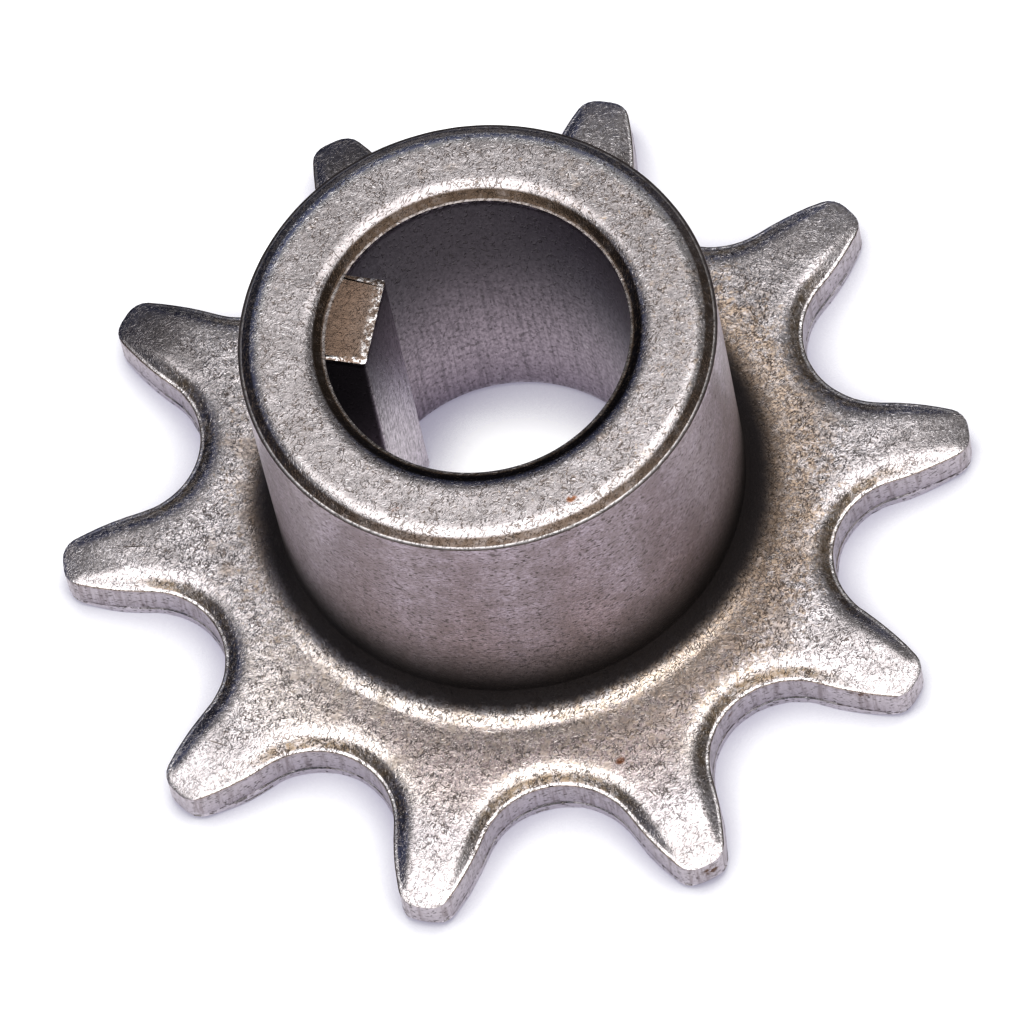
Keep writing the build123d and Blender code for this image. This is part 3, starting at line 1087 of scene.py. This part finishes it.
boreFinish = {
    "clean": (0.43, 0.365, 0.415, 1),
    "deep": (0.08, 0.066, 0.08, 1),
    "pale": (0.50, 0.45, 0.49, 1),
    "key": (0.72, 0.65, 0.71, 1),
    "pit": (0.05, 0.04, 0.04, 1),
    "bright": (0.6, 0.56, 0.6, 1),
    "skin": 0.14,
    "relief": 0.010,
    "roughness": (0.3, 0.7, 0.30, 0.42),
    "drawn": (0.8, 0.8, 2.6),  # the core rod draws the skin out upwards
    # painted shade: the bore's wall darkens towards its top
    "darkUp": (3.0, 15.0),
    "stain": (1.3, 0.40, 0.7),  # size, cover and strength
    "stainTop": (14.0, 6.0),
    "onKey": ((5.9, 5.68), (21.0, 9.0)),  # radius and height
    "lineLengths": (0.16, 0.16, 5.0),
    "lines": ((1.0, 3.0), (0.45, 0.65, 0.0, 0.3)),
    "grain": (0.34, 0.66, 0.0, 0.4),
    "pitShare": 0.45,
}


def makeBoreSteel(finish):
    # the bore's wall and the key's sides, polished by the core rod
    steel, tree, shader, where = newSteel("bore_steel")
    place, height = where["Place"], where["Height"]
    drawn = measured(tree, place, finish["drawn"])
    skin = useGroup(tree, groups["die"], {"Place": drawn, "Size": finish["skin"]})
    size, cover, share = finish["stain"]
    stain = product(tree, stained(tree, place, size, cover), ramp(tree, height, *finish["stainTop"]))
    keyRadius, keyHeight = finish["onKey"]
    onKey = product(tree, ramp(tree, where["Radius"], *keyRadius), ramp(tree, height, *keyHeight))
    layers = [
        # painted shade, darker towards the top of the bore
        (ramp(tree, height, *finish["darkUp"]), finish["deep"]),
        (product(tree, stain, share), finish["pale"]),
        (onKey, finish["key"]),
        (patchy(tree, measured(tree, place, finish["lineLengths"]), *finish["lines"]), finish["deep"]),
        (ramp(tree, skin["Grain"], *finish["grain"]), finish["deep"]),
        (product(tree, skin["Pits"], finish["pitShare"]), finish["pit"]),
        # rubbed edges with painted glints, such as the bore's bottom edge catching the floor's light
        (rubbed(tree, place, marked(tree, "edgeWear")), finish["bright"]),
    ]
    colour = layered(tree, finish["clean"], layers)
    roughness = ramp(tree, skin["Grain"], *finish["roughness"])
    finishSteel(tree, shader, colour, roughness, skin["Height"], finish["relief"])
    return steel


def dressFaces(shape, size):
    # level and sloping faces are pressed, and upright ones are die walls or the bore's
    for steel in (makePressedSteel(pressedFinish), makeDieSteel(dieFinish), makeBoreSteel(boreFinish)):
        shape.data.materials.append(steel)
    footEnd = size["hubRadius"] + size["footWidth"]
    footTop = size["plateThickness"] + size["footHeight"]
    for face in shape.data.polygons:
        place = face.center / mm
        radius = hypot(place.x, place.y)
        if abs(face.normal.z) > size["pressedRise"]:
            continue
        if radius < size["boreRadius"] + 0.1:
            face.material_index = 2
        elif radius > footEnd or place.z > footTop:
            face.material_index = 1


dressFaces(sprocket, sprocketSizes)
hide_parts("sprocket")
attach(sprocket, "root")
print("sprocket dressed in", len(sprocket.data.materials), "finishes")

cameraPlace = {
    "azimuth": 23.461,
    "elevation": 62.043,
    "roll": 13.277,
    "distance": 628.28,
    "aim": (0.021, -0.857, 2.33),
    "lens": 439.45,
    "sensor": 36,
    "clip": (0.01, 10),
}


def placeCamera(place):
    azimuth, elevation = radians(place["azimuth"]), radians(place["elevation"])
    away = Vector((sin(azimuth) * cos(elevation), -cos(azimuth) * cos(elevation), sin(elevation)))
    bpy.ops.object.camera_add(location=(Vector(place["aim"]) + away * place["distance"]) * mm)
    camera = bpy.context.object
    turn = (-away).to_track_quat("-Z", "Y").to_matrix()
    camera.rotation_euler = (Matrix.Rotation(radians(-place["roll"]), 3, away) @ turn).to_euler()
    camera.data.lens = place["lens"]
    camera.data.sensor_width = place["sensor"]
    camera.data.clip_start, camera.data.clip_end = place["clip"]
    bpy.context.scene.camera = camera


placeCamera(cameraPlace)
print("camera placed")

lightPlace = {
    "height": 600.0,
    "towardsCamera": 9.5,  # degrees from straight overhead
    "spread": 34.0,  # half the angle that the softbox fills over the sprocket
    "radiance": 3.4,
    "horizonColour": (0.47, 0.56, 1.0, 1),
    "horizon": 0.13,
    "darkSide": (-0.93, 0.367, 0.0),  # where the dim horizon reaches higher
    "darkRise": 0.28,
    "blueRise": 0.55,  # how much higher the blue reaches there
    "walls": 0.5,
    "wallHeight": 0.45,  # where the dim horizon has turned into the room's walls, as a rise of 1
    "backdrop": 1.3,
}


def placeSoftbox(place):
    # a round softbox, level over the sprocket
    halfWidth = place["height"] * tan(radians(place["spread"]))
    tilt = place["height"] * tan(radians(place["towardsCamera"]))
    azimuth = radians(cameraPlace["azimuth"])
    spot = Vector((sin(azimuth) * tilt, -cos(azimuth) * tilt, place["height"])) * mm
    bpy.ops.object.light_add(type="AREA", location=spot)
    box = bpy.context.object
    box.name = "softbox"
    box.data.shape = "DISK"
    box.data.size = 2 * halfWidth * mm
    box.data.energy = place["radiance"] * pi * pi * (halfWidth * mm) ** 2  # the radiance over the disk


def makeStudio(place):
    # dim blue near the horizon, grey walls above it, and a pale backdrop past the floor for the camera
    world = bpy.data.worlds.new("studio")
    bpy.context.scene.world = world
    world.use_nodes = True
    tree = world.node_tree
    direction = addNode(tree, "TexCoord", {}).outputs["Generated"]
    rise = addNode(tree, "SeparateXYZ", {0: direction}).outputs[2]
    towards = maths(tree, "MAXIMUM", reach(tree, direction, place["darkSide"]), 0.0)
    blueRise = maths(tree, "MULTIPLY_ADD", towards, -place["blueRise"], rise)
    blueness = ramp(tree, blueRise, 0.0, place["wallHeight"])
    darkRise = maths(tree, "MULTIPLY_ADD", towards, -place["darkRise"], rise)
    strength = ramp(tree, darkRise, 0.0, place["wallHeight"], place["horizon"], place["walls"])
    colour = mixed(tree, blueness, place["horizonColour"], (1, 1, 1, 1))
    seen = addNode(tree, "LightPath", {}).outputs["Is Camera Ray"]
    backdrop = maths(tree, "MULTIPLY", seen, place["backdrop"])
    feed(tree, tree.nodes["Background"].inputs["Strength"], maths(tree, "MAXIMUM", strength, backdrop))
    feed(tree, tree.nodes["Background"].inputs["Color"], mixed(tree, seen, colour, (1, 1, 1, 1)))


placeSoftbox(lightPlace)
makeStudio(lightPlace)
print("light placed")

floorFinish = {
    "size": 4.0,
    "paper": (0.3, 0.3, 0.3, 1),
    "clear": (1, 1, 1, 1),
    "shade": (0.30, 0.285, 0.37, 1),  # close to the metal
    "shadeReach": 3.6,
    "shadeLimits": (0.45, 1.0),
    "shadeSamples": 4,
    "glow": 0.95,  # the paper is lit from below
    "roughness": 0.9,
}


def layFloor(finish):
    bpy.ops.mesh.primitive_plane_add(size=finish["size"])
    floor = bpy.context.object
    floor.name = "floor"
    paper = bpy.data.materials.new("lit_paper")
    paper.use_nodes = True
    tree = paper.node_tree
    shader = tree.nodes["Principled BSDF"]
    distance = {"Distance": finish["shadeReach"] * mm}
    near = addNode(tree, "AmbientOcclusion", distance, samples=finish["shadeSamples"]).outputs["AO"]
    colour = mixed(tree, ramp(tree, near, *finish["shadeLimits"]), finish["shade"], finish["clear"])
    feed(tree, shader.inputs["Emission Color"], colour)
    shader.inputs["Base Color"].default_value = finish["paper"]
    shader.inputs["Emission Strength"].default_value = finish["glow"]
    shader.inputs["Roughness"].default_value = finish["roughness"]
    shader.inputs["Specular IOR Level"].default_value = 0
    floor.data.materials.append(paper)


layFloor(floorFinish)
view = bpy.context.scene.view_settings
view.view_transform = "Standard"
view.gamma = 0.8
print("floor laid")
